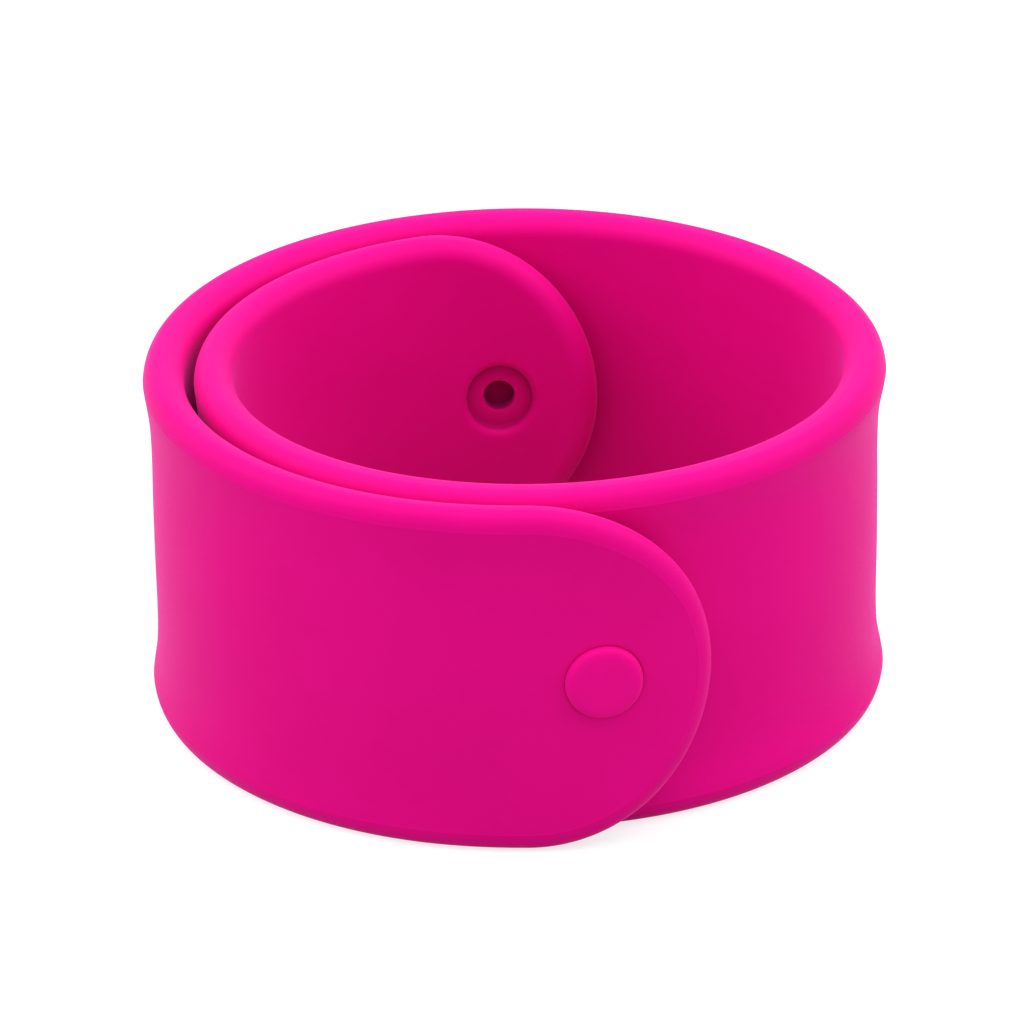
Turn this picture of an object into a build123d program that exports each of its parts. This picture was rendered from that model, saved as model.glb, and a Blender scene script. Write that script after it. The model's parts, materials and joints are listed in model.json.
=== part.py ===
from build123d import *
import math
import os

# A coiled spring wrist band: a silicone sleeve over one flat spring strip, with a push-in stud at
# the outer end and an empty seat for a stud at the inner end. The axis of the coil is Z, and the
# band stands on its lower edge at Z = 0.
# The sleeve is cut across into short pieces, so that it can unroll: each cell of the band is one
# link with a shorter flex piece on either side of it. Lengths are in mm, angles in degrees.

# Band
band_width = 25.4
band_thickness = 2.45
edge_round = 0.7

# Coil, measured on the neutral line at the middle of the thickness
coil_radius = 24.13
turn_total = 587.0
layer_air = 0.95
tip_air = 0.3
tip_lift = 0.5
lift_turn = 45.0
ease_start = 266.0
tip_azimuth = -58.5

# Cells along the band
cell_count = 15
piece_gap = 0.1

# Spring strip, sealed in a pocket of the sleeve
spring_thickness = 0.2
spring_width = 19.0
spring_clearance = 0.1
spring_inset = 13.2

# Stud at the outer end, and its seat
stud_inset = 7.7
stud_head_radius = 2.65
stud_head_rise = 0.5
stud_head_round = 0.35
stud_shank_radius = 1.1
stud_end_gap = 0.15
seat_clearance = 0.08
hole_clearance = 0.05

# Seats in the two ends
seat_depth = 0.6
hole_depth = 1.4

# Empty seat at the inner end
inner_seat_inset = 7.1
inner_seat_radius = 2.45
inner_hole_radius = 1.15

# Worked out from the sizes above
half_thickness = band_thickness / 2
cell_turn = turn_total / cell_count
flex_turn = cell_turn / 4
flex_swing = cell_turn / 2
inward_step = band_thickness + layer_air
pocket_thickness = spring_thickness + 2 * spring_clearance
pocket_width = spring_width + 2 * spring_clearance
root_cell = cell_count // 2

FULL_TURN = 360.0
OUTWARD = 1
INWARD = -1


def find(rising, target, low, high):
    """Where a rising function reaches a target, by halving."""
    while high - low > 1e-7:
        middle = (low + high) / 2
        if rising(middle) < target:
            low = middle
        else:
            high = middle
    return (low + high) / 2


def ease_share(part):
    """The share of the inward step that is done at this part of the ease, smooth at both ends."""
    return part - math.sin(2 * math.pi * part) / (2 * math.pi)


# The ease ends where it leaves the stated air under the outer tip, one full turn on
tip_part = find(ease_share, (band_thickness + tip_air - tip_lift) / inward_step, 0.0, 1.0)
ease_stop = ease_start + (FULL_TURN - ease_start) / tip_part


def smooth_step(turn, start, stop, amount):
    """How far a step between two turns has gone at this turn, with its first two slopes per radian."""
    span = math.radians(stop - start)
    part = min(max((turn - start) / (stop - start), 0.0), 1.0)
    wave = 2 * math.pi * part
    slope = (1 - math.cos(wave)) / span
    bend = 2 * math.pi * math.sin(wave) / span**2
    return Vector(ease_share(part), slope, bend) * amount


def ease(turn):
    """How far the coil lies inside its radius at this turn, with its first two slopes per radian.

    The outer tip starts a little outside, and the coil steps inward where it passes under the tip.
    """
    settle = smooth_step(turn, 0.0, lift_turn, tip_lift)
    inward = smooth_step(turn, ease_start, ease_stop, inward_step)
    total = settle + inward
    return total.X - tip_lift, total.Y, total.Z


def normal(turn):
    """The outward normal of the band, which turns by exactly the turn."""
    azimuth = math.radians(tip_azimuth - turn)
    return Vector(math.cos(azimuth), math.sin(azimuth), 0)


def tangent(turn):
    """The direction along the band towards its inner end."""
    azimuth = math.radians(tip_azimuth - turn)
    return Vector(math.sin(azimuth), -math.cos(azimuth), 0)


def on_coil(turn, depth):
    """A point this far outward of the neutral line, from the centre of the outer turn."""
    drop, slope, _ = ease(turn)
    return normal(turn) * (coil_radius - drop + depth) - tangent(turn) * slope


# The origin is in the middle of the band's footprint
outline = [on_coil(degree, half_thickness) for degree in range(round(turn_total) + 1)]
centre_x = (min(point.X for point in outline) + max(point.X for point in outline)) / 2
centre_y = (min(point.Y for point in outline) + max(point.Y for point in outline)) / 2


def on_band(turn, depth=0.0, height=0.0):
    """A point at this turn, this far outward of the neutral line and this far up."""
    return on_coil(turn, depth) + Vector(-centre_x, -centre_y, height)


def length_to(turn):
    """The length of the neutral line from the outer tip to this turn."""
    steps = max(2, round(turn / 2))
    width = turn / steps
    total = 0.0
    for step in range(steps):
        drop, _, bend = ease((step + 0.5) * width)
        total += (coil_radius - drop - bend) * math.radians(width)
    return total


band_length = length_to(turn_total)


def turn_at(length):
    """The turn at this length from the outer tip."""
    return find(length_to, length, 0.0, turn_total)


def band_slice(start, stop, low_depth, high_depth, foot, head, gap=0.0, start_relief=0.0, stop_relief=0.0):
    """A closed stretch of band between two turns, two depths and two heights.

    A relief opens the outer half of an end face by that many degrees, so that two neighbours stay
    clear of each other when the band is flat.
    """

    def end_face(turn, sign, relief):
        along = tangent(turn) * sign
        near = along * (gap / 2)
        if not relief:
            return [on_band(turn, low_depth) + near, on_band(turn, high_depth) + near]
        wedge = along * (high_depth * math.tan(math.radians(relief)))
        return [
            on_band(turn, low_depth) + near,
            on_band(turn) + near,
            on_band(turn, high_depth) + near + wedge,
        ]

    middle = (start + stop) / 2
    first = end_face(start, 1, start_relief)
    last = end_face(stop, -1, stop_relief)
    edges = [Edge.make_line(a, b) for a, b in zip(first, first[1:])]
    edges.append(Edge.make_three_point_arc(first[-1], on_band(middle, high_depth), last[-1]))
    edges += [Edge.make_line(b, a) for a, b in zip(last, last[1:])]
    edges.append(Edge.make_three_point_arc(last[0], on_band(middle, low_depth), first[0]))
    face = Pos(0, 0, foot) * Face(Wire(edges))
    return extrude(face, amount=head - foot, dir=(0, 0, 1))


def radial_plane(turn, along=0.0):
    """A plane across the band's normal at mid height, with its X along the band."""
    middle = on_band(turn, 0, band_width / 2) + tangent(turn) * along
    return Plane(origin=middle, x_dir=tangent(turn), z_dir=normal(turn))


def tongue_outline(turn, inner_end):
    """The round-ended outline of a tongue, seen square on from this turn."""
    centre = band_length - band_width / 2 if inner_end else band_width / 2
    away = -1 if inner_end else 1
    reach = band_length / 4
    depth = 4 * band_thickness
    plane = radial_plane(turn, centre - length_to(turn))
    disc = plane * Cylinder(band_width / 2, depth)
    strip = plane * Pos(away * reach / 2, 0, 0) * Box(reach, band_width, depth)
    return disc + strip


def near_end(start, stop):
    """Which rounded end, if either, this stretch of band reaches into."""
    if length_to(start) < band_width / 2:
        return "outer"
    if length_to(stop) > band_length - band_width / 2:
        return "inner"
    return None


def seat(turn, face, head_radius, hole_radius):
    """The cutter for a seat: a shallow round recess with a blind hole in its floor."""
    plane = radial_plane(turn)
    floor = half_thickness - seat_depth
    recess_depth = 2 * seat_depth
    recess = Pos(0, 0, face * (floor + recess_depth / 2)) * Cylinder(head_radius, recess_depth)
    hole = Pos(0, 0, face * (floor - hole_depth / 2)) * Cylinder(hole_radius, hole_depth)
    return plane * (recess + hole)


spring_start = turn_at(spring_inset)
spring_stop = turn_at(band_length - spring_inset)
stud_turn = turn_at(stud_inset)
inner_seat_turn = turn_at(band_length - inner_seat_inset)


def spring_pocket(start, stop):
    """The cutter for the stretch of the strip's pocket between two turns, or None."""
    overrun = 1.0
    slack = math.degrees(spring_clearance / coil_radius)
    first = max(start - overrun, spring_start - slack)
    last = min(stop + overrun, spring_stop + slack)
    if last <= start or first >= stop:
        return None
    foot = (band_width - pocket_width) / 2
    return band_slice(first, last, -pocket_thickness / 2, pocket_thickness / 2, foot, foot + pocket_width)


def sleeve_piece(start, stop, start_relief, stop_relief, cutters=()):
    """One piece of the sleeve: rounded long edges, the strip's pocket, and any seat."""
    piece = band_slice(
        start,
        stop,
        -half_thickness,
        half_thickness,
        0,
        band_width,
        gap=piece_gap,
        start_relief=start_relief,
        stop_relief=stop_relief,
    )
    end = near_end(start, stop)
    if end is None:
        long_edges = piece.edges().filter_by(GeomType.CIRCLE)
        piece = fillet(long_edges, edge_round)
    else:
        piece = piece & tongue_outline((start + stop) / 2, end == "inner")
    pocket = spring_pocket(start, stop)
    if pocket is not None:
        piece = piece - pocket
    for cutter in cutters:
        piece = piece - cutter
    return piece


def spring_strip():
    """The flat spring, one continuous coil with square ends."""
    steps = 2 * cell_count
    turns = [spring_start + (spring_stop - spring_start) * step / steps for step in range(steps + 1)]
    half = spring_thickness / 2

    def side(depth, marks):
        """The arcs that follow one face of the strip."""
        for a, b in zip(marks, marks[1:]):
            yield Edge.make_three_point_arc(on_band(a, depth), on_band((a + b) / 2, depth), on_band(b, depth))

    edges = list(side(half, turns))
    edges.append(Edge.make_line(on_band(turns[-1], half), on_band(turns[-1], -half)))
    edges += list(side(-half, turns[::-1]))
    edges.append(Edge.make_line(on_band(turns[0], -half), on_band(turns[0], half)))
    face = Pos(0, 0, (band_width - spring_width) / 2) * Face(Wire(edges))
    return extrude(face, amount=spring_width, dir=(0, 0, 1))


def stud():
    """The push-in stud: a low round head with a softened rim, on a plain shank."""
    floor = half_thickness - seat_depth
    head_height = seat_depth + stud_head_rise
    shank_length = hole_depth - stud_end_gap
    head = Pos(0, 0, floor + head_height / 2) * Cylinder(stud_head_radius, head_height)
    rim = head.edges().sort_by(Axis.Z)[-1]
    head = fillet(rim, stud_head_round)
    shank = Pos(0, 0, floor - shank_length / 2) * Cylinder(stud_shank_radius, shank_length)
    return radial_plane(stud_turn) * (head + shank)


def link_span(cell):
    """The turns between which a cell's link lies."""
    return cell * cell_turn + flex_turn, (cell + 1) * cell_turn - flex_turn


def flex_hinge(cell, side):
    """Where the neutral line crosses between a link and its flex piece: the flex piece's hinge."""
    start, stop = link_span(cell)
    return on_band(start if side == "a" else stop)


def swung(point, pivot, angle):
    """A point turned about a vertical axis through the pivot."""
    arm = (point - pivot).rotate(Axis.Z, angle)
    return pivot + arm


def link_hinge(cell):
    """The axis between this link and the next one.

    It is the one axis that brings the two flex pieces between them end to end in the flat band.
    """
    seam = on_band((cell + 1) * cell_turn)
    before = swung(seam, flex_hinge(cell, "b"), flex_swing)
    after = swung(seam, flex_hinge(cell + 1, "a"), -flex_swing)
    gap = before - after
    lever = 1 / (2 * math.tan(math.radians(cell_turn / 2)))
    return (before + after) / 2 + Vector(-gap.Y, gap.X, 0) * lever


def build():
    """Every piece of the band by its name."""
    outer_seat = seat(
        stud_turn, OUTWARD, stud_head_radius + seat_clearance, stud_shank_radius + hole_clearance
    )
    inner_seat = seat(inner_seat_turn, INWARD, inner_seat_radius, inner_hole_radius)
    relief = flex_swing / 2
    pieces = {"spring_strip": spring_strip(), "stud": stud()}
    for cell in range(cell_count):
        start, stop = link_span(cell)
        number = f"{cell + 1:02d}"
        cutters = []
        if cell == 0:
            cutters.append(outer_seat)
        if cell == cell_count - 1:
            cutters.append(inner_seat)
        pieces[f"sleeve_link_{number}"] = sleeve_piece(start, stop, relief, relief, cutters)
        pieces[f"sleeve_flex_{number}a"] = sleeve_piece(start - flex_turn, start, 0, relief)
        pieces[f"sleeve_flex_{number}b"] = sleeve_piece(stop, stop + flex_turn, relief, 0)
    return pieces


os.makedirs("parts", exist_ok=True)
for name, piece in build().items():
    export_step(piece, f"parts/{name}.step")
print(f"band length {band_length:.1f} mm, {cell_turn:.3f} degrees a cell, ease to {ease_stop:.1f} degrees")
for cell in range(cell_count):
    axes = [flex_hinge(cell, "a"), flex_hinge(cell, "b")]
    if cell < cell_count - 1:
        axes.append(link_hinge(cell))
    places = ", ".join(f"({axis.X:.2f}, {axis.Y:.2f})" for axis in axes)
    print(f"hinge axes of cell {cell + 1}: {places}")
print(f"the cell that stays put is {root_cell + 1}")
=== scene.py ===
import json
import logging
import math
from dataclasses import dataclass, field, replace
from enum import Enum
from typing import Any

import bmesh
import bpy
import numpy as np
from bpy.types import Material, Mesh, Node, NodeTree, Object
from mathutils import Matrix, Vector

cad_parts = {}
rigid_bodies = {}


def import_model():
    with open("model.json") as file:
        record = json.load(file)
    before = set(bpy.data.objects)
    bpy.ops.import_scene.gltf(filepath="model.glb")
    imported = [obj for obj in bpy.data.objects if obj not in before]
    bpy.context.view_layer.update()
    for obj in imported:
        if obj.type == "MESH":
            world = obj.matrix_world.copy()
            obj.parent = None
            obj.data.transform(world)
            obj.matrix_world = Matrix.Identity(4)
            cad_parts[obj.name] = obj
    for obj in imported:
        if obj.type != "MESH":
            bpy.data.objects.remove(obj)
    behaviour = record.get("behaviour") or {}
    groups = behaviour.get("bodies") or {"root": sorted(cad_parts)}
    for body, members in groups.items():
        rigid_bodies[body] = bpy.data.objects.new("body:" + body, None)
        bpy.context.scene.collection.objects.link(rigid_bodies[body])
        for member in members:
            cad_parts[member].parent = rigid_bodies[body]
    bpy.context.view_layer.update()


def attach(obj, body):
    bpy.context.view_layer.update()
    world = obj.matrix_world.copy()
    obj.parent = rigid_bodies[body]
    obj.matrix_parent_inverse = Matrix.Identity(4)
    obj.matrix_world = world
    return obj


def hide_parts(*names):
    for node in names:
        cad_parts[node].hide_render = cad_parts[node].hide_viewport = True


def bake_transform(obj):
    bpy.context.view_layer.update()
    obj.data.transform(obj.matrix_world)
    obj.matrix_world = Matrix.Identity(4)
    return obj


LOG = logging.getLogger("wrist_band")
MM = 0.001
BAND_WIDTH = 25.4
BAND_THICKNESS = 2.45
MOULDED_SPACE = "moulded_space"
STRETCH_INDEX = "stretch_index"
# painted shade in the two seats, from 0 to 1
PAINTED_SHADE = "painted_seat_shade"
WHITE = (1.0, 1.0, 1.0, 1.0)
Rows = np.ndarray
Faces = list[tuple[int, ...]]


# ---- small helpers


def linear(hex_colour: str) -> tuple[float, float, float, float]:
    """Turns an sRGB hex colour into linear values.

    Args:
        hex_colour: Six hex digits.

    Returns:
        Linear red, green and blue, and an alpha of 1.
    """
    channels = [int(hex_colour[i : i + 2], 16) / 255 for i in (0, 2, 4)]
    low = [c / 12.92 if c <= 0.04045 else ((c + 0.055) / 1.055) ** 2.4 for c in channels]
    return (low[0], low[1], low[2], 1.0)


def add_node(tree: NodeTree, kind: str, inputs: dict | None = None, **settings: Any) -> Node:
    """Adds a node with its settings, its input values and its links.

    Args:
        tree: The tree that gets the node.
        kind: The node's type name.
        inputs: Input name or number to a value, or to the socket that feeds it.
        **settings: Properties of the node.

    Returns:
        The new node.
    """
    node = tree.nodes.new(kind)
    for key, value in settings.items():
        setattr(node, key, value)
    for key, value in (inputs or {}).items():
        if isinstance(value, bpy.types.NodeSocket):
            tree.links.new(value, node.inputs[key])
        else:
            node.inputs[key].default_value = value
    return node


def add_rows(tree: NodeTree, known: dict[str, Any], rows: tuple[tuple, ...]) -> None:
    """Adds a run of nodes, each fed by name from the ones before it.

    Args:
        tree: The tree that gets the nodes.
        known: Name to socket for what is there already. Each new node's first output joins it.
        rows: Each node's name, its type and operation, and its inputs.
    """
    for name, words, inputs in rows:
        kind, _, operation = words.partition(" ")
        kind = kind if kind.startswith("Geometry") else f"ShaderNode{kind}"
        fed = {key: known.get(value, value) for key, value in inputs.items()}
        settings = {"operation": operation} if operation else {}
        known[name] = add_node(tree, kind, fed, **settings).outputs[0]


def clear_tree(owner: bpy.types.ID) -> NodeTree:
    """Gives a material or a world an empty tree of nodes.

    Args:
        owner: The material or the world.

    Returns:
        Its tree.
    """
    owner.use_nodes = True
    owner.node_tree.nodes.clear()
    return owner.node_tree


def add_object(name: str, data: bpy.types.ID) -> Object:
    """Puts data into the scene as an object at the origin.

    Args:
        name: The object's name.
        data: The mesh, lamp or lens.

    Returns:
        The object.
    """
    made = bpy.data.objects.new(name, data)
    bpy.context.scene.collection.objects.link(made)
    return made


def read(items: Any, key: str, wide: int = 1, kind: type = np.float32) -> Rows:
    """Reads one property of every item of a mesh.

    Args:
        items: The points, the faces or the values of an attribute.
        key: The property.
        wide: How many numbers an item has.
        kind: The type of the numbers.

    Returns:
        A row for each item, or a number where the property is one number.
    """
    values = np.zeros(len(items) * wide, kind)
    items.foreach_get(key, values)
    return values.reshape(-1, wide) if wide > 1 else values


def rise(part: float) -> float:
    """The share of a smooth step that is done at this part of it, level at both ends."""
    return part - math.sin(2 * math.pi * part) / (2 * math.pi)


# ---- the coil


@dataclass(frozen=True)
class CoilLaw:
    """The rule that the band is coiled by. Lengths are in mm and angles in degrees.

    The outward normal turns by exactly the turn, from the outer tip to the inner one, and the
    coil steps inward once, where it passes under its own outer end.
    """

    radius: float = 24.13
    turn_total: float = 587.0
    layer_air: float = 0.95
    tip_air: float = 0.3
    tip_lift: float = 0.5
    lift_turn: float = 45.0
    ease_start: float = 266.0
    tip_azimuth: float = -58.5
    cell_count: int = 15
    fine_steps: int = 20000
    halvings: int = 40

    @property
    def inward_step(self) -> float:
        """How far apart the neutral lines of two layers are."""
        return BAND_THICKNESS + self.layer_air

    @property
    def ease_stop(self) -> float:
        """The turn at which the inward step is done, found by halving."""
        goal = (BAND_THICKNESS + self.tip_air - self.tip_lift) / self.inward_step
        low, high = 0.0, 1.0
        for _ in range(self.halvings):
            middle = (low + high) / 2
            low, high = (middle, high) if rise(middle) < goal else (low, middle)
        return self.ease_start + (360.0 - self.ease_start) / low

    def step(self, turn: Rows, start: float, stop: float, amount: float) -> Rows:
        """A smooth step between two turns.

        Args:
            turn: Turns in degrees.
            start: Where the step starts.
            stop: Where it ends.
            amount: Its height in mm.

        Returns:
            Three rows: the height, and its first and second slope per radian.
        """
        span = math.radians(stop - start)
        part = np.clip((turn - start) / (stop - start), 0, 1)
        wave = 2 * math.pi * part
        share = part - np.sin(wave) / (2 * math.pi)
        return amount * np.array([share, (1 - np.cos(wave)) / span, 2 * math.pi * np.sin(wave) / span**2])

    def drop(self, turn: Rows) -> Rows:
        """How far the coil lies inside its radius.

        Args:
            turn: Turns in degrees.

        Returns:
            Three rows: the drop in mm, and its first and second slope per radian.
        """
        total = self.step(turn, 0.0, self.lift_turn, self.tip_lift)
        total += self.step(turn, self.ease_start, self.ease_stop, self.inward_step)
        total[0] -= self.tip_lift
        return total

    def on_coil(self, turn: Rows, depth: float) -> Rows:
        """Points on the coil before it is centred.

        Args:
            turn: Turns in degrees.
            depth: How far outward of the neutral line, in mm.

        Returns:
            One row of X and Y for each turn, in mm.
        """
        azimuth = np.radians(self.tip_azimuth - turn)
        normal = np.stack([np.cos(azimuth), np.sin(azimuth)], 1)
        tangent = np.stack([np.sin(azimuth), -np.cos(azimuth)], 1)
        drop, slope, _ = self.drop(turn)
        return normal * (self.radius - drop + depth)[:, None] - tangent * slope[:, None]

    @property
    def centre(self) -> tuple[float, float]:
        """The middle of the footprint, which the row puts at its origin."""
        outline = self.on_coil(np.arange(0, round(self.turn_total) + 1, dtype=float), BAND_THICKNESS / 2)
        middle = (outline.min(0) + outline.max(0)) / 2
        return float(middle[0]), float(middle[1])

    def on_band(self, turn: float, depth: float) -> Vector:
        """A point at half the band's height.

        Args:
            turn: Its turn in degrees.
            depth: How far outward of the neutral line, in mm.

        Returns:
            The point in the row frame, in metres.
        """
        x, y = self.on_coil(np.array([turn]), depth)[0]
        centre_x, centre_y = self.centre
        return Vector((x - centre_x, y - centre_y, BAND_WIDTH / 2)) * MM

    def outward(self, turn: float) -> Rows:
        """The direction straight out of the band's outer face."""
        azimuth = math.radians(self.tip_azimuth - turn)
        return np.array([math.cos(azimuth), math.sin(azimuth), 0.0])

    def lengths(self, turns: Rows) -> Rows:
        """The length of the neutral line from the outer tip.

        Args:
            turns: Where to, as turns in degrees.

        Returns:
            The length in mm at each turn.
        """
        fine = np.linspace(0, self.turn_total, self.fine_steps + 1)
        drop, _, bend = self.drop(fine)
        speed = self.radius - drop - bend
        pieces = (speed[1:] + speed[:-1]) / 2 * math.radians(fine[1])
        return np.interp(turns, fine, np.concatenate([[0], np.cumsum(pieces)]))

    @property
    def band_length(self) -> float:
        """The whole length of the neutral line, in mm."""
        return float(self.lengths(np.array([self.turn_total]))[0])

    def turn_at(self, length: float) -> float:
        """The turn at this length from the outer tip."""
        fine = np.linspace(0, self.turn_total, self.fine_steps + 1)
        return float(np.interp(length, self.lengths(fine), fine))


class Side(Enum):
    """The two sides of a cell, by the flex piece on each."""

    OUTER = "a"
    INNER = "b"


@dataclass(frozen=True)
class Stretch:
    """Half a cell of the band, which bends between a link and one of its flex pieces.

    Lengths are in mm from the outer tip. The stretch has turned by link_share of the flex
    piece's turn at bend_from, and by edge_share of it at bend_to. Shares of a quarter and three
    quarters let the band lie straight when it is flat, and leave its cross-cuts a little out of
    square, so such a cut has a collar under it.
    """

    cell: int
    side: Side
    start: float
    stop: float
    bend_from: float
    bend_to: float
    link_share: float = 0.0
    edge_share: float = 1.0
    collared: bool = False
    portion: str = ""

    @property
    def label(self) -> str:
        """The cell's number and side, as the bodies have it."""
        return f"{self.cell + 1:02d}{self.side.value}"

    @property
    def link(self) -> str:
        """The body of the link."""
        return f"link_{self.cell + 1:02d}"

    @property
    def flex(self) -> str:
        """The body of the flex piece."""
        return f"flex_{self.label}"


# ---- finishes


@dataclass(frozen=True)
class MouldedSilicone:
    """Hot pink silicone rubber, compression moulded.

    It is opaque and satin, with no sharp highlight: a fine even grain from the mould scatters
    the light, and the surface pales a little where it turns away.
    """

    name: str
    colour: str
    deeper_colour: str
    # painted shade: the dark colour that the seats are mixed towards, and the most of it
    painted_shade_colour: str = "6A0236"
    painted_shade_share: float = 0.8
    roughness: float = 0.5
    gloss_spread: float = 0.05
    ior: float = 1.41
    specular_level: float = 0.05
    sheen: float = 0.42
    sheen_roughness: float = 0.35
    sheen_colour: str = "FF58D0"
    grain_mm: float = 0.16
    wave_mm: float = 4.0
    cloud_mm: float = 9.0

    def build(self) -> Material:
        """Makes the material, its patterns fixed to the moulded shape before it was coiled."""
        material = bpy.data.materials.new(self.name)
        tree = clear_tree(material)
        known = {
            "place": add_node(tree, "ShaderNodeAttribute", attribute_name=MOULDED_SPACE).outputs["Vector"],
            "painted_shade_mask": add_node(tree, "ShaderNodeAttribute", attribute_name=PAINTED_SHADE).outputs["Fac"],
        }
        cloud, grain, wave = (1 / (size * MM) for size in (self.cloud_mm, self.grain_mm, self.wave_mm))
        gloss = {"To Min": self.roughness - self.gloss_spread, "To Max": self.roughness + self.gloss_spread}
        rows = (
            # slow clouding of the pigment, millimetres across
            ("cloud", "TexNoise", {"Vector": "place", "Scale": cloud, "Detail": 3.0}),
            ("tone", "MapRange", {"Value": "cloud", "From Min": 0.35, "From Max": 0.65}),
            # painted shade: a seat is darkened towards a deeper colour, because less light comes back out of
            # it
            ("shade", "MapRange", {"Value": "painted_shade_mask", "To Max": self.painted_shade_share}),
            # mould grain: real grain is about 0.03 mm, drawn coarser so that it shows
            ("grain", "TexNoise", {"Vector": "place", "Scale": grain, "Roughness": 0.6}),
            ("gloss", "MapRange", {"Value": "grain", "From Min": 0.3, "From Max": 0.7} | gloss),
            # faint waviness of a flexible moulding
            ("wave", "TexNoise", {"Vector": "place", "Scale": wave, "Detail": 1.0, "Roughness": 0.4}),
            ("slow", "Bump", {"Strength": 0.25, "Distance": 0.04 * MM, "Height": "wave"}),
            ("fine", "Bump", {"Strength": 0.35, "Distance": 0.006 * MM, "Height": "grain", "Normal": "slow"}),
        )
        add_rows(tree, known, rows)
        colour = linear(self.colour)
        # the colour clouds at random, then takes the painted shade in the seats
        for share, other in ((known["tone"], self.deeper_colour), (known["shade"], self.painted_shade_colour)):
            mixed = {"Factor": share, 6: colour, 7: linear(other)}
            colour = add_node(tree, "ShaderNodeMix", mixed, data_type="RGBA").outputs[2]
        finish = {
            "Base Color": colour,
            "Roughness": known["gloss"],
            "IOR": self.ior,
            "Specular IOR Level": self.specular_level,
            "Sheen Weight": self.sheen,
            "Sheen Roughness": self.sheen_roughness,
            "Sheen Tint": linear(self.sheen_colour),
            "Normal": known["fine"],
        }
        shader = add_node(tree, "ShaderNodeBsdfPrincipled", finish)
        add_node(tree, "ShaderNodeOutputMaterial", {"Surface": shader.outputs["BSDF"]})
        return material


@dataclass(frozen=True)
class SpringSteel:
    """Cold-rolled carbon spring steel strip, bright, with fine rolling lines along its length."""

    name: str = "cold_rolled_spring_steel"
    colour: str = "C6C8CA"
    roughness: float = 0.32
    line_mm: float = 0.25

    def build(self) -> Material:
        """Makes the material, its rolling lines running along the strip."""
        material = bpy.data.materials.new(self.name)
        tree = clear_tree(material)
        place = add_node(tree, "ShaderNodeAttribute", attribute_name=MOULDED_SPACE).outputs["Vector"]
        known = {"place": place}
        fine = {"Scale": 1 / (self.line_mm * MM), "Detail": 4.0, "Roughness": 0.6}
        gloss = {"To Min": self.roughness - 0.1, "To Max": self.roughness + 0.12}
        rows = (
            # drawn out fifty times along the strip, as rolling lines are
            ("drawn", "Mapping", {"Vector": "place", "Scale": (0.02, 1.0, 1.0)}),
            ("lines", "TexNoise", {"Vector": "drawn"} | fine),
            ("gloss", "MapRange", {"Value": "lines"} | gloss),
            ("relief", "Bump", {"Strength": 0.3, "Distance": 0.003 * MM, "Height": "lines"}),
        )
        add_rows(tree, known, rows)
        finish = {"Base Color": linear(self.colour), "Metallic": 1.0}
        finish |= {"Roughness": known["gloss"], "Normal": known["relief"]}
        shader = add_node(tree, "ShaderNodeBsdfPrincipled", finish)
        add_node(tree, "ShaderNodeOutputMaterial", {"Surface": shader.outputs["BSDF"]})
        return material


# ---- wrapping by rule


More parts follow.
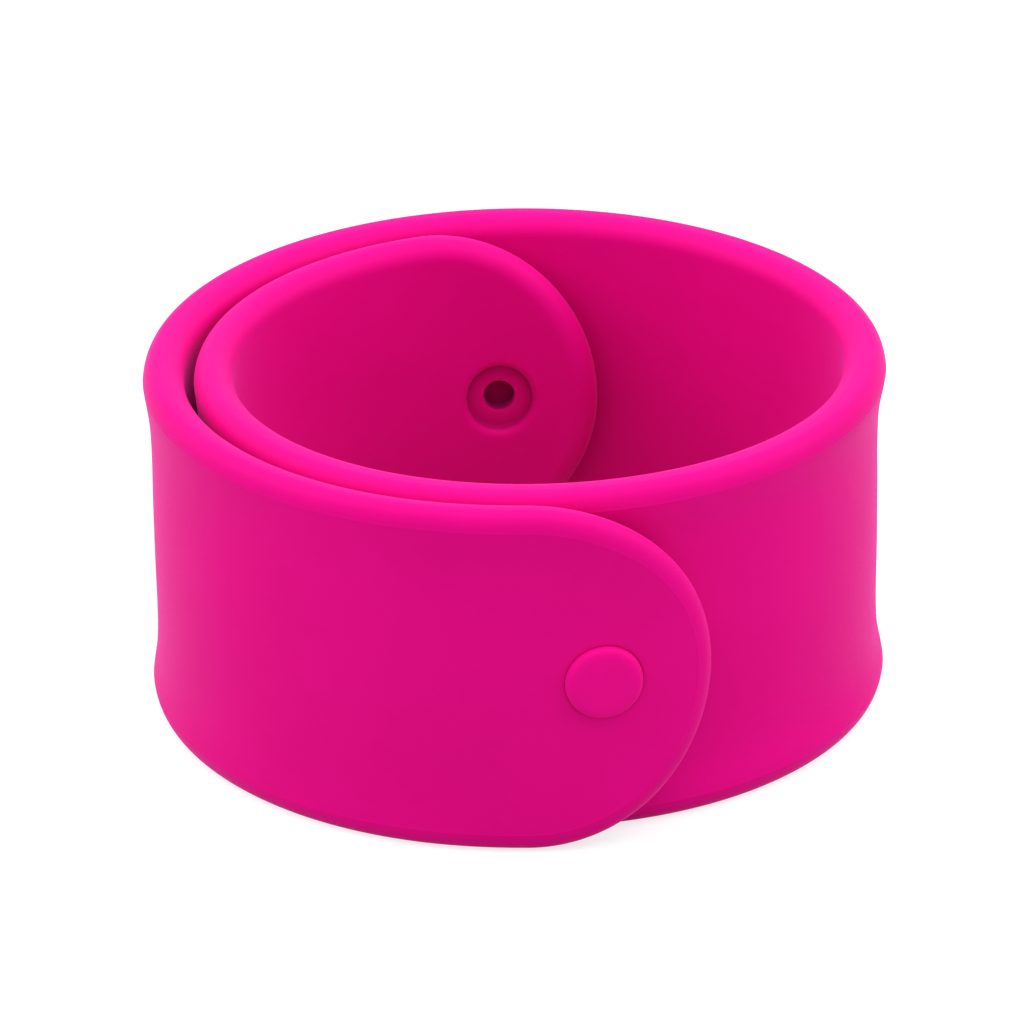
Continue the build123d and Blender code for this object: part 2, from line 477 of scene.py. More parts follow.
@dataclass
class BandWrap:
    """The Geometry Nodes tree that coils a flat moulding by the coil's rule.

    The flat moulding has its length along X, its depth along Y and its height along Z. The tree
    draws the neutral line, and sets each point square to it at its own length and depth.
    """

    law: CoilLaw
    path_points: int = 6001
    tree: NodeTree = field(init=False)

    def __post_init__(self) -> None:
        """Builds the tree once, for every moulding that it coils."""
        self.tree = self._wrap_tree(self._step_tree())

    def _step_tree(self) -> NodeTree:
        """The inner tree: a smooth step between two turns, as its height and its slope per radian."""
        tree = bpy.data.node_groups.new("smooth_step", "GeometryNodeTree")
        names = ("Turn", "Start", "Stop", "Amount")
        for name in names:
            tree.interface.new_socket(name, in_out="INPUT", socket_type="NodeSocketFloat")
        for name in ("Height", "Slope"):
            tree.interface.new_socket(name, in_out="OUTPUT", socket_type="NodeSocketFloat")
        given = add_node(tree, "NodeGroupInput").outputs
        known = {name: given[name] for name in names}
        rows = (
            ("part", "MapRange", {"Value": "Turn", "From Min": "Start", "From Max": "Stop"}),
            ("wave", "Math MULTIPLY", {0: "part", 1: 2 * math.pi}),
            ("sine", "Math SINE", {0: "wave"}),
            ("cosine", "Math COSINE", {0: "wave"}),
            ("share", "Math MULTIPLY_ADD", {0: "sine", 1: -0.5 / math.pi, 2: "part"}),
            ("height", "Math MULTIPLY", {0: "share", 1: "Amount"}),
            ("left", "Math SUBTRACT", {0: 1.0, 1: "cosine"}),
            ("span", "Math SUBTRACT", {0: "Stop", 1: "Start"}),
            ("pace", "Math DIVIDE", {0: "left", 1: "span"}),
            ("slope", "Math MULTIPLY", {0: "pace", 1: "Amount"}),
        )
        add_rows(tree, known, rows)
        add_node(tree, "NodeGroupOutput", {"Height": known["height"], "Slope": known["slope"]})
        return tree

    def _wrap_tree(self, step: NodeTree) -> NodeTree:
        """The outer tree, which takes the flat moulding and gives the coiled one.

        Args:
            step: The tree of one smooth step.

        Returns:
            The tree, with a named input for each size of the coil.
        """
        tree = bpy.data.node_groups.new("band_wrap", "GeometryNodeTree")
        sockets = {"Flat moulding": "Geometry"}
        sockets |= dict.fromkeys(("Coil radius", "Turn total", "Tip azimuth", "Tip lift"), "Float")
        sockets |= dict.fromkeys(("Lift turn", "Inward step", "Ease start", "Ease stop"), "Float")
        sockets |= {"Centre": "Vector", "Path points": "Int", "Finish": "Material"}
        for name, kind in sockets.items():
            tree.interface.new_socket(name, in_out="INPUT", socket_type=f"NodeSocket{kind}")
        tree.interface.new_socket("Coiled moulding", in_out="OUTPUT", socket_type="NodeSocketGeometry")
        given = add_node(tree, "NodeGroupInput").outputs
        known = {name: given[name] for name in sockets}
        known["index"] = add_node(tree, "GeometryNodeInputIndex").outputs[0]

        # the turn of each point of the path, and how far it lies inside the radius there
        turning = (
            ("last", "Math SUBTRACT", {0: "Path points", 1: 1.0}),
            ("part", "Math DIVIDE", {0: "index", 1: "last"}),
            ("turn", "Math MULTIPLY", {0: "part", 1: "Turn total"}),
        )
        add_rows(tree, known, turning)
        for name, start, stop, amount in (
            ("settle", 0.0, known["Lift turn"], known["Tip lift"]),
            ("inward", known["Ease start"], known["Ease stop"], known["Inward step"]),
        ):
            feeds = {"Turn": known["turn"], "Start": start, "Stop": stop, "Amount": amount}
            group = add_node(tree, "GeometryNodeGroup", feeds, node_tree=step)
            known |= {name: group.outputs["Height"], f"{name} slope": group.outputs["Slope"]}

        # its place: out along the normal, back along the tangent by the slope
        placing = (
            ("lifted", "Math ADD", {0: "Coil radius", 1: "Tip lift"}),
            ("settled", "Math SUBTRACT", {0: "lifted", 1: "settle"}),
            ("reach", "Math SUBTRACT", {0: "settled", 1: "inward"}),
            ("slope", "Math ADD", {0: "settle slope", 1: "inward slope"}),
            ("azimuth", "Math SUBTRACT", {0: "Tip azimuth", 1: "turn"}),
            ("cosine", "Math COSINE", {0: "azimuth"}),
            ("sine", "Math SINE", {0: "azimuth"}),
            ("backward", "Math MULTIPLY", {0: "sine", 1: -1.0}),
            ("normal", "CombineXYZ", {"X": "cosine", "Y": "sine"}),
            ("back", "CombineXYZ", {"X": "backward", "Y": "cosine"}),
            ("out", "VectorMath SCALE", {0: "normal", "Scale": "reach"}),
            ("aside", "VectorMath SCALE", {0: "back", "Scale": "slope"}),
            ("on coil", "VectorMath ADD", {0: "out", 1: "aside"}),
            ("place", "VectorMath SUBTRACT", {0: "on coil", 1: "Centre"}),
            ("points", "GeometryNodeMeshLine", {"Count": "Path points"}),
            ("drawn", "GeometryNodeSetPosition", {"Geometry": "points", "Position": "place"}),
            ("path", "GeometryNodeMeshToCurve", {"Mesh": "drawn"}),
        )
        add_rows(tree, known, placing)

        # the moulding, laid along the path
        position = add_node(tree, "GeometryNodeInputPosition").outputs[0]
        flat = add_node(tree, "ShaderNodeSeparateXYZ", {0: position}).outputs
        known |= {"depth": flat["Y"], "height": flat["Z"]}
        sampling = {"Curves": known["path"], "Length": flat["X"]}
        sample = add_node(tree, "GeometryNodeSampleCurve", sampling, mode="LENGTH").outputs
        known |= {"spot": sample["Position"], "tangent": sample["Tangent"]}
        laying = (
            ("outward", "VectorMath CROSS_PRODUCT", {0: (0.0, 0.0, 1.0), 1: "tangent"}),
            ("square", "VectorMath NORMALIZE", {0: "outward"}),
            ("deep", "VectorMath SCALE", {0: "square", "Scale": "depth"}),
            ("upward", "CombineXYZ", {"Z": "height"}),
            ("level", "VectorMath ADD", {0: "spot", 1: "deep"}),
            ("coiled", "VectorMath ADD", {0: "level", 1: "upward"}),
            ("laid", "GeometryNodeSetPosition", {"Geometry": "Flat moulding", "Position": "coiled"}),
            ("real", "GeometryNodeRealizeInstances", {0: "laid"}),
            ("dressed", "GeometryNodeSetMaterial", {"Geometry": "real", "Material": "Finish"}),
        )
        add_rows(tree, known, laying)
        add_node(tree, "NodeGroupOutput", {"Coiled moulding": known["dressed"]})
        return tree

    def coil(self, flat: Mesh, finish: Material) -> Mesh:
        """Coils one flat moulding.

        Args:
            flat: The moulding, in metres, with its length, depth and height on X, Y and Z.
            finish: Its material.

        Returns:
            A plain mesh in the row frame.
        """
        law = self.law
        centre_x, centre_y = law.centre
        sizes = {
            "Coil radius": law.radius * MM,
            "Turn total": math.radians(law.turn_total),
            "Tip azimuth": math.radians(law.tip_azimuth),
            "Tip lift": law.tip_lift * MM,
            "Lift turn": math.radians(law.lift_turn),
            "Inward step": law.inward_step * MM,
            "Ease start": math.radians(law.ease_start),
            "Ease stop": math.radians(law.ease_stop),
            "Centre": (centre_x * MM, centre_y * MM, 0.0),
            "Path points": self.path_points,
            "Finish": finish,
        }
        carrier = add_object("flat_moulding", flat)
        modifier = carrier.modifiers.new("band_wrap", "NODES")
        modifier.node_group = self.tree
        for item in self.tree.interface.items_tree:
            if item.in_out == "INPUT" and item.name in sizes:
                modifier[item.identifier] = sizes[item.name]
        graph = bpy.context.evaluated_depsgraph_get()
        coiled = bpy.data.meshes.new_from_object(carrier.evaluated_get(graph), depsgraph=graph)
        bpy.data.objects.remove(carrier)
        return coiled


# ---- flat mouldings


@dataclass(frozen=True)
class RoundSeat:
    """A round feature sunk into one face of a tongue.

    Each ring has its radius, how deep it lies, both in mm, and its painted shade, from 0 to 1.
    """

    inset: float
    rings: tuple[tuple[float, float, float], ...]


@dataclass(frozen=True)
class BandSection:
    """The cross-section of the sleeve: a thin wall with a soft bead along each edge, in mm."""

    flare: float = 0.52
    flare_middle: float = 0.9
    flare_reach: float = 2.2
    tongue_flare_share: float = 0.25
    flare_from: float = 12.0
    flare_full: float = 75.0
    waist: float = 0.04
    waist_from: float = 3.0
    waist_reach: float = 8.0
    crease_inset: float = 1.4
    crease_tilt: float = 0.045
    crease_ridge: float = 0.015
    crease_width: float = 0.05
    outer_roll: float = 1.0
    inner_round: float = 1.38
    rim_reach: float = 3.4
    flank_marks: tuple[float, ...] = (3.4, 3.0, 2.6, 2.25, 1.95, 1.72, 1.57, 1.49, 1.44, 1.4)
    roll_angles: tuple[float, ...] = (1, 2.3, 4.5, 8, 13, 19, 26, 33, 40, 48, 56, 64, 72, 81, 90)
    edge_shares: tuple[float, ...] = (0.35, 0.7)
    inner_marks: tuple[float, ...] = (1.6, 1.95, 2.4, 2.9, 3.4)
    across: tuple[float, ...] = (1.0, 0.93, 0.85, 0.76, 0.66, 0.55, 0.43, 0.3, 0.15, 0.0)

    def flare_at(self, tip_distance: float) -> float:
        """How far the edges flare out, at this distance from the nearer tip: less on a tongue."""
        part = min(max((tip_distance - self.flare_from) / (self.flare_full - self.flare_from), 0.0), 1.0)
        return self.flare * (self.tongue_flare_share + (1 - self.tongue_flare_share) * rise(part))

    def outer(self, inset: Rows, flare: float) -> Rows:
        """How far out the outer face lies.

        Args:
            inset: Distances from the edge.
            flare: How far the edges flare out there.

        Returns:
            Depths, outward of the middle of the band.
        """
        inset = np.asarray(inset, float)
        flank = np.maximum(inset, self.crease_inset)
        face = BAND_THICKNESS / 2 + flare * np.exp(-(((flank - self.flare_middle) / self.flare_reach) ** 2))
        waist = np.clip((inset - self.waist_from) / self.waist_reach, 0, 1)
        face = face - self.waist * np.sin(math.pi * waist) ** 2
        past = np.clip(self.crease_inset - inset, 0, self.crease_inset)
        rolled = 1 - np.sqrt(1 - (past / self.crease_inset) ** 2)
        face = face - self.crease_tilt * past - self.outer_roll * rolled
        return face + self.crease_ridge * np.exp(-(((inset - self.crease_inset) / self.crease_width) ** 2))

    def face(self, inset: Rows, flare: float, side: int) -> Rows:
        """How far out either face lies: side is 1 for the outer one and -1 for the inner."""
        return self.outer(inset, flare) if side > 0 else np.full_like(inset, -BAND_THICKNESS / 2)

    def rim(self, flare: float) -> Rows:
        """The bead from the outer face, over the edge, to the inner face.

        Args:
            flare: How far the edges flare out there.

        Returns:
            Rows of the distance from the edge and the depth.
        """
        marks = list(self.flank_marks)
        marks += [self.crease_inset * (1 - math.sin(math.radians(angle))) for angle in self.roll_angles]
        points = [(mark, float(self.outer(mark, flare))) for mark in marks]
        high, low = points[-1][1], self.inner_round - BAND_THICKNESS / 2
        points += [(0.0, high + (low - high) * share) for share in self.edge_shares]
        for angle in np.radians(np.linspace(90, 0, 12)):
            inset = self.inner_round * (1 - math.sin(angle))
            points.append((inset, self.inner_round * (1 - math.cos(angle)) - BAND_THICKNESS / 2))
        points += [(mark, -BAND_THICKNESS / 2) for mark in self.inner_marks]
        return np.array(points)


class Patchwork:
    """Grids of points that share their edges, joined into one closed mesh."""

    def __init__(self) -> None:
        """Starts with no points and no faces."""
        self.points: list[Rows] = []
        self.faces: Faces = []
        self.count = 0

    def _keep(self, rows: Rows) -> int:
        """Keeps more points.

        Args:
            rows: The points, in mm.

        Returns:
            The number of the first of them.
        """
        first = self.count
        self.points.append(rows.reshape(-1, 3))
        self.count += rows.size // 3
        return first

    def grid(self, rows: Rows, closed: bool) -> None:
        """Joins rows of points with quads.

        Args:
            rows: Points by row and by place in the row, in mm.
            closed: Whether each row is a loop.
        """
        first = self._keep(rows)
        high, wide = rows.shape[:2]
        for row in range(high - 1):
            for place in range(wide if closed else wide - 1):
                after = (place + 1) % wide
                low, up = first + row * wide, first + (row + 1) * wide
                self.faces.append((low + place, low + after, up + after, up + place))

    def fan(self, ring: Rows, middle: Rows) -> None:
        """Closes a loop of points onto one point.

        Args:
            ring: The loop.
            middle: The point in its middle.
        """
        first, pole, wide = self._keep(ring), self._keep(middle[None]), len(ring)
        self.faces += [(first + i, first + (i + 1) % wide, pole) for i in range(wide)]

    def mesh(self, name: str) -> Mesh:
        """Joins shared points and turns every face outward.

        Args:
            name: The mesh's name.

        Returns:
            The mesh, in metres, with its flat place and its painted shade kept as attributes.
        """
        raw = bpy.data.meshes.new(name)
        raw.from_pydata(np.concatenate(self.points) * MM, [], self.faces)
        work = bmesh.new()
        work.from_mesh(raw)
        bmesh.ops.remove_doubles(work, verts=work.verts, dist=0.001 * MM)
        bmesh.ops.recalc_face_normals(work, faces=work.faces)
        open_edges = sum(1 for edge in work.edges if len(edge.link_faces) != 2)
        LOG.info("%s: %d faces, %d open edges", name, len(work.faces), open_edges)
        work.to_mesh(raw)
        work.free()
        raw.polygons.foreach_set("use_smooth", np.ones(len(raw.polygons), bool))
        flat = read(raw.vertices, "co", 3)
        raw.attributes.new(MOULDED_SPACE, "FLOAT_VECTOR", "POINT").data.foreach_set("vector", flat.ravel())
        raw.attributes.new(PAINTED_SHADE, "FLOAT", "POINT")
        return raw


# ---- the band's parts


@dataclass
class CoiledPart:
    """What the sleeve and the spring have in common: a flat moulding, coiled and cut into stretches."""

    law: CoilLaw
    wrap: BandWrap
    stretches: list[Stretch]
    collar_drop: float = field(default=0.015, kw_only=True)
    least_steps: int = field(default=4, kw_only=True)

    def _marks(self, start: float, stop: float, pitch: float) -> list[float]:
        """Where the cross-sections of a flat moulding lie.

        Args:
            start: The first one.
            stop: The last one.
            pitch: About how far apart they are.

        Returns:
            Their lengths from the outer tip, one of them at every cut.
        """
        marks = [start]
        for stretch in self.stretches:
            first, last = max(stretch.start, start), min(stretch.stop, stop)
            if last > first:
                steps = max(self.least_steps, round((last - first) / pitch))
                marks += list(np.linspace(first, last, steps + 1)[1:])
        return marks

    def cut(self, flat: Mesh, finish: Material, prefix: str) -> list[tuple[Stretch, Object]]:
        """Coils a flat moulding and cuts it at the stretches.

        The cut pieces keep the normals of the whole, so that no seam shows, and each is closed
        by a flat face at its cuts.

        Args:
            flat: The flat moulding.
            finish: Its material.
            prefix: What each piece's name starts with.

        Returns:
            Each stretch with its piece.
        """
        along = read(flat.polygons, "center", 3)[:, 0] / MM
        marks = np.array([stretch.start for stretch in self.stretches] + [self.stretches[-1].stop])
        owner = np.clip(np.searchsorted(marks, along) - 1, 0, len(self.stretches) - 1).astype(np.int32)
        flat.attributes.new(STRETCH_INDEX, "INT", "FACE").data.foreach_set("value", owner)
        whole = self.wrap.coil(flat, finish)
        moulded = read(whole.attributes[MOULDED_SPACE].data, "vector", 3)
        painted_seat_shade = read(whole.attributes[PAINTED_SHADE].data, "value")[:, None]
        columns = (read(whole.vertices, "co", 3), read(whole.vertex_normals, "vector", 3), moulded, painted_seat_shade)
        points = np.hstack(columns)
        owner = read(whole.attributes[STRETCH_INDEX].data, "value", kind=np.int32)
        faces = [tuple(polygon.vertices) for polygon in whole.polygons]
        made = []
        before: Faces = []
        for number, stretch in enumerate(self.stretches):
            mine = [faces[i] for i in np.flatnonzero(owner == number)]
            if mine:
                collar = self._first_row(before, mine) if stretch.collared else []
                name = f"{prefix}_{stretch.label}{stretch.portion}"
                made.append((stretch, self._piece(name, mine, collar, points, finish)))
            before = mine
        bpy.data.meshes.remove(whole)
        return made

    @staticmethod
    def _first_row(before: Faces, mine: Faces) -> Faces:
        """The faces of the piece before that share an edge with this one."""
        shared = {corner for face in before for corner in face} & {corner for face in mine for corner in face}
        return [face for face in before if sum(corner in shared for corner in face) >= 2]

    def _piece(
        self,
        name: str,
        faces: Faces,
        collar: Faces,
        points: Rows,
        finish: Material,
    ) -> Object:
        """Makes one cut piece as an object of its own.

        Args:
            name: The piece's name.
            faces: Its faces, by the points of the whole.
            collar: The neighbour's faces that it also reaches under, just below their surface.
            points: The points of the whole: place, normal, flat place and painted shade of each.
            finish: The material.

        Returns:
            The piece.
        """
        used = sorted({corner for face in faces for corner in face})
        short = {corner: i for i, corner in enumerate(used)}
        own = [tuple(short[corner] for corner in face) for face in faces]
        if collar:
            under = sorted({corner for face in collar for corner in face})
            low = {corner: len(used) + i for i, corner in enumerate(under)}
            rims = self._ways(faces)
            steps = [(a, b) for face in collar for a, b in zip(face, face[1:] + face[:1]) if (b, a) in rims]
            own += [(short[a], short[b], low[b], low[a]) for a, b in steps]
            own += [tuple(low[corner] for corner in face) for face in collar]
            sunk = points[under]
            sunk[:, :3] -= sunk[:, 3:6] * self.collar_drop * MM
            points = np.concatenate([points, sunk])
            used = used + list(range(len(points) - len(under), len(points)))
        caps = self._caps(own)
        mesh = bpy.data.meshes.new(name)
        mesh.from_pydata(points[used, :3], [], own + caps)
        mesh.polygons.foreach_set("use_smooth", np.ones(len(mesh.polygons), bool))
        moulded = mesh.attributes.new(MOULDED_SPACE, "FLOAT_VECTOR", "POINT").data
        moulded.foreach_set("vector", points[used, 6:9].ravel())
        mesh.attributes.new(PAINTED_SHADE, "FLOAT", "POINT").data.foreach_set("value", points[used, 9].ravel())
        mesh.materials.append(finish)
        mesh.update()
        normals = [points[used[corner], 3:6] for face in own for corner in face]
        for cap in mesh.polygons[len(own) :]:
            normals += [np.array(cap.normal)] * len(cap.vertices)
        mesh.normals_split_custom_set(np.array(normals, np.float32))
        return add_object(name, mesh)

    @staticmethod
    def _ways(faces: Faces) -> set[tuple[int, int]]:
        """Every edge of every face, in the direction that its face runs."""
        return {step for face in faces for step in zip(face, face[1:] + face[:1])}

    def _caps(self, faces: Faces) -> Faces:
        """The flat faces that close a cut piece.

        Args:
            faces: The faces that it has.

        Returns:
            One face for each loop of open edges.
        """
        ways = self._ways(faces)
        follow = {b: a for a, b in ways if (b, a) not in ways}
        caps = []
        while follow:
            start, corner = next(iter(follow.items()))
            loop = [start]
            del follow[start]
            while corner != start:
                loop.append(corner)
                corner = follow.pop(corner)
            caps.append(tuple(loop))
        return caps

    def bend(self, stretch: Stretch, piece: Object) -> None:
        """Bakes a piece's place into its points and logs the link and the flex piece that it lies between.

        Args:
            stretch: The stretch of the band.
            piece: Its piece.
        """
        lengths = (stretch.bend_from, stretch.bend_to)
        first, last = (self.law.on_band(self.law.turn_at(length), 0.0) for length in lengths)
        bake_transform(piece)
        LOG.info("%s bends between %s and %s", piece.name, stretch.link, stretch.flex)


@dataclass
class Sleeve(CoiledPart):
    """The silicone sleeve: the whole band but for its spring and its stud."""

    outer_cut: float
    inner_cut: float
    section: BandSection = field(default_factory=BandSection)
    section_pitch: float = 0.38
    upright_power: int = 7
    finish: MouldedSilicone = MouldedSilicone("moulded_silicone_sleeve", "D8047D", "D4037A")
    # fmt: off
    # a ring's third number is its painted shade
    stud_seat: RoundSeat = RoundSeat(7.7, (
        (3.1, 0.0, 0.0), (2.92, 0.003, 0.0), (2.78, 0.014, 0.0), (2.7, 0.033, 0.1), (2.655, 0.06, 0.2),
        (2.635, 0.1, 0.3), (2.63, 0.3, 0.5), (2.63, 0.6, 0.5), (2.4, 0.6, 0.5), (1.6, 0.6, 0.5),
        (0.8, 0.6, 0.5),
    ))
    empty_seat: RoundSeat = RoundSeat(7.1, (
        (3.15, 0.0, 0.0), (3.02, 0.01, 0.0), (2.91, 0.038, 0.0), (2.81, 0.085, 0.0), (2.73, 0.14, 0.0),
        (2.66, 0.205, 0.0), (2.6, 0.285, 0.02), (2.555, 0.37, 0.1), (2.525, 0.46, 0.25),
        (2.5, 0.56, 0.48), (2.465, 0.64, 0.6), (2.4, 0.71, 0.62), (2.3, 0.755, 0.55), (2.15, 0.775, 0.42),
        (1.95, 0.77, 0.28), (1.7, 0.75, 0.15), (1.45, 0.73, 0.08), (1.32, 0.725, 0.06),
        (1.23, 0.745, 0.1), (1.17, 0.79, 0.25), (1.14, 0.88, 0.5), (1.13, 1.1, 0.7), (1.13, 1.5, 0.8),
        (1.13, 1.9, 0.9), (1.1, 2.03, 0.95), (1.0, 2.1, 0.9), (0.8, 2.12, 0.8), (0.4, 2.12, 0.75),
    ))
    # fmt: on
    plain_radii: tuple[float, ...] = (2.6, 2.1, 1.6, 1.1, 0.6)
    plain_inset: float = 7.0
    web_rows: int = 12
    lip_margin: float = 0.02
    far_margin: float = 0.2

    def _inset(self, tip_distance: Rows, height: Rows) -> Rows:
        """The distance in from the sleeve's outline, at a distance from the tip and a height."""
        half = BAND_WIDTH / 2
        return half - np.hypot(np.clip(half - tip_distance, 0, None), height - half)

    def _half_height(self, tip_distance: float) -> float:
        """Half the height of the sleeve at this distance from the nearer tip."""
        half = BAND_WIDTH / 2
        return math.sqrt(half**2 - max(half - tip_distance, 0.0) ** 2)

    def _across(self, tip_distance: float, side: int) -> Rows:
        """The points across one face between the beads, from the upper one to the lower.

        Args:
            tip_distance: Distance from the nearer tip.
            side: 1 for the outer face, -1 for the inner.

        Returns:
            Rows of depth and height.
        """
        section = self.section
        reach = self._half_height(tip_distance) - section.rim_reach
        shares = np.array(section.across + tuple(-share for share in section.across[-2::-1]))
        height = BAND_WIDTH / 2 + reach * shares
        flare = section.flare_at(tip_distance)
        depth = section.face(self._inset(np.full_like(height, tip_distance), height), flare, side)
        depth[0] = depth[-1] = section.rim(flare)[0 if side > 0 else -1, 1]
        return np.stack([depth, height], 1)

    def _loop(self, tip_distance: float) -> Rows:
        """The closed cross-section of the straight part.

        Args:
            tip_distance: Distance from the nearer tip.

        Returns:
            Rows of depth and height.
        """
        rim = self.section.rim(self.section.flare_at(tip_distance))
        half, reach = BAND_WIDTH / 2, self._half_height(tip_distance)
        upper = np.stack([rim[:, 1], half + reach - rim[:, 0]], 1)
        lower = np.stack([rim[:, 1], half - reach + rim[:, 0]], 1)[::-1]
        down = self._across(tip_distance, -1)[1:-1]
        up = self._across(tip_distance, 1)[::-1][1:-1]
        return np.concatenate([upper, down, lower, up])

    def _on_face(self, flat: Rows, side: int, sink: float) -> Rows:
        """Points on a face of a tongue, or sunk below it.

        Args:
            flat: Rows of the distance to the tip and the height.
            side: 1 for the outer face, -1 for the inner.
            sink: How far below the face they lie.

        Returns:
            Rows of the distance to the tip, the depth and the height.
        """
        inset = self._inset(flat[:, 0], flat[:, 1])
        depth = self.section.face(inset, self.section.flare_at(0.0), side) - side * sink
        return np.stack([flat[:, 0], depth, flat[:, 1]], 1)

    def _web(self, loop: Rows, side: int, seat: RoundSeat, snug: bool) -> tuple[Rows, Rows]:
        """One face of a tongue, from its border in to the middle of its seat.

        Args:
            loop: The border.
            side: 1 for the outer face, -1 for the inner.
            seat: The seat, or plain rings.
            snug: Whether the seat has to come out round once it is coiled.

        Returns:
            The rows of points from the border inward, and the point in the middle.
        """
        middle = np.array([seat.inset, BAND_WIDTH / 2])
        out = loop[:, [0, 2]] - middle
        out = out / np.linalg.norm(out, axis=1)[:, None]
        rows = [loop]
        first = middle + out * seat.rings[0][0]
        for share in np.linspace(0, 1, self.web_rows + 1)[1:-1]:
            rows.append(self._on_face(loop[:, [0, 2]] * (1 - share) + first * share, side, 0.0))
        for radius, sink, _ in seat.rings:
            ring = self._on_face(middle + out * radius, side, sink)
            if snug:
                # coiling widens what lies outward, so the seat is drawn that much narrower
                ring[:, 0] = middle[0] + (ring[:, 0] - middle[0]) / (1 + ring[:, 1] / self.law.radius)
            rows.append(ring)
        return np.array(rows), self._on_face(middle[None], side, seat.rings[-1][1])[0]

    def _tongue(self, work: Patchwork, inner_end: bool) -> None:
        """Adds one rounded end, from its cut to its tip.

        Args:
            work: The patchwork that gets it.
            inner_end: Whether it is the inner end of the band.
        """
        half, cut = BAND_WIDTH / 2, self.inner_cut if inner_end else self.outer_cut
        rim = self.section.rim(self.section.flare_at(cut))
        widest = math.acos((half - cut) / half)
        count = round(2 * widest * half / self.section_pitch)
        angle = np.linspace(widest, -widest, count + 1)
        # the bead runs square to the outline, and eases to upright where it meets the straight part
        lean = angle + (math.pi / 2 - widest) * (angle / widest) ** self.upright_power
        edge = np.stack([half - half * np.cos(angle), half + half * np.sin(angle)], 1)
        inward = np.stack([np.cos(lean), -np.sin(lean)], 1)
        bead = np.zeros((count + 1, len(rim), 3))
        bead[:, :, [0, 2]] = edge[:, None] + inward[:, None] * rim[None, :, :1]
        bead[:, :, 1] = rim[None, :, 1]
        seat, seat_side = (self.empty_seat, -1) if inner_end else (self.stud_seat, 1)
        plain = RoundSeat(seat.inset, tuple((radius, 0.0, 0.0) for radius in self.plain_radii))
        patches: list[tuple[Rows, Rows | None]] = [(bead, None)]
        for side, border in ((1, bead[:, 0]), (-1, bead[:, -1])):
            across = self._across(cut, side)[::-1][1:-1]
            shore = np.stack([np.full(len(across), cut), across[:, 0], across[:, 1]], 1)
            has_seat = side == seat_side
            loop = np.concatenate([border, shore])
            patches.append(self._web(loop, side, seat if has_seat else plain, has_seat and not inner_end))
        for rows, pole in patches:
            for points in (rows, pole):
                if inner_end and points is not None:
                    points[..., 0] = self.law.band_length - points[..., 0]
            work.grid(rows, closed=pole is not None)
            if pole is not None:
                work.fan(rows[-1], pole)

    def flat_moulding(self) -> Mesh:
        """The whole sleeve as it would lie flat."""
        length = self.law.band_length
        marks = self._marks(self.outer_cut, length - self.inner_cut, self.section_pitch)
        loops = [self._loop(min(mark, length - mark)) for mark in marks]
        rows = [np.insert(loop, 0, mark, axis=1) for mark, loop in zip(marks, loops)]
        work = Patchwork()
        work.grid(np.array(rows), closed=True)
        self._tongue(work, inner_end=False)
        self._tongue(work, inner_end=True)
        flat = work.mesh("sleeve_flat")
        self._mark_painted_shade(flat)
        return flat

    def _mark_painted_shade(self, flat: Mesh) -> None:
        """Notes the painted shade of each point of the two seats, by the ring that it lies on.

        Args:
            flat: The flat moulding.
        """
        place = read(flat.vertices, "co", 3) / MM
        painted_seat_shade = np.zeros(len(place), np.float32)
        flare = self.section.flare_at(0.0)
        for seat, side in ((self.stud_seat, 1), (self.empty_seat, -1)):
            along = seat.inset if side > 0 else self.law.band_length - seat.inset
            radius = np.hypot(place[:, 0] - along, place[:, 2] - BAND_WIDTH / 2)
            surface = self.section.face(np.array([self.plain_inset]), flare, side)[0]
            sink = (surface - place[:, 1]) * side
            rings = np.array(seat.rings)
            near = (radius < rings[0, 0] - self.lip_margin) & (sink < BAND_THICKNESS - self.far_margin)
            for point in np.flatnonzero(near):
                gaps = np.hypot(rings[:, 0] - radius[point], rings[:, 1] - sink[point])
                painted_seat_shade[point] = rings[np.argmin(gaps), 2]
        flat.attributes[PAINTED_SHADE].data.foreach_set("value", painted_seat_shade)

    def build(self) -> None:
        """Makes the sleeve, cut into its stretches."""
        for stretch, piece in self.cut(self.flat_moulding(), self.finish.build(), "sleeve"):
            self.bend(stretch, piece)
            nodes = [f"sleeve_flex_{stretch.label}"]
            if stretch.side is Side.OUTER:
                nodes.append(f"sleeve_link_{stretch.cell + 1:02d}")
            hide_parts(*nodes)


@dataclass
class Spring(CoiledPart):
    """The flat steel spring inside the sleeve."""

    inset: float = 13.2
    width: float = 19.0
    thickness: float = 0.2
    pitch: float = 0.8
    finish: SpringSteel = SpringSteel()

    def flat_moulding(self) -> Mesh:
        """The strip as it would lie flat: slit edges rounded, ends cropped square."""
        half, low = self.thickness / 2, (BAND_WIDTH - self.width) / 2
        turns = np.radians(np.linspace(-90, 90, 7))
        upper = np.stack([half * np.sin(turns), BAND_WIDTH - low - half + half * np.cos(turns)], 1)
        lower = np.stack([-half * np.sin(turns), low + half - half * np.cos(turns)], 1)
        heights = np.linspace(BAND_WIDTH - low - half, low + half, 9)[1:-1]
        down = np.stack([np.full(7, half), heights], 1)
        up = np.stack([np.full(7, -half), heights[::-1]], 1)
        loop = np.concatenate([upper, down, lower, up])
        marks = self._marks(self.inset, self.law.band_length - self.inset, self.pitch)
        rows = [np.insert(loop, 0, mark, axis=1) for mark in marks]
        work = Patchwork()
        work.grid(np.array(rows), closed=True)
        for row in (rows[0], rows[-1]):
            work.fan(row, row.mean(0))
        return work.mesh("spring_flat")

    def build(self) -> None:
        """Makes the spring, cut into the same stretches as the sleeve around it."""
        for stretch, piece in self.cut(self.flat_moulding(), self.finish.build(), "spring"):
            self.bend(stretch, piece)
            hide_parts("spring_strip")


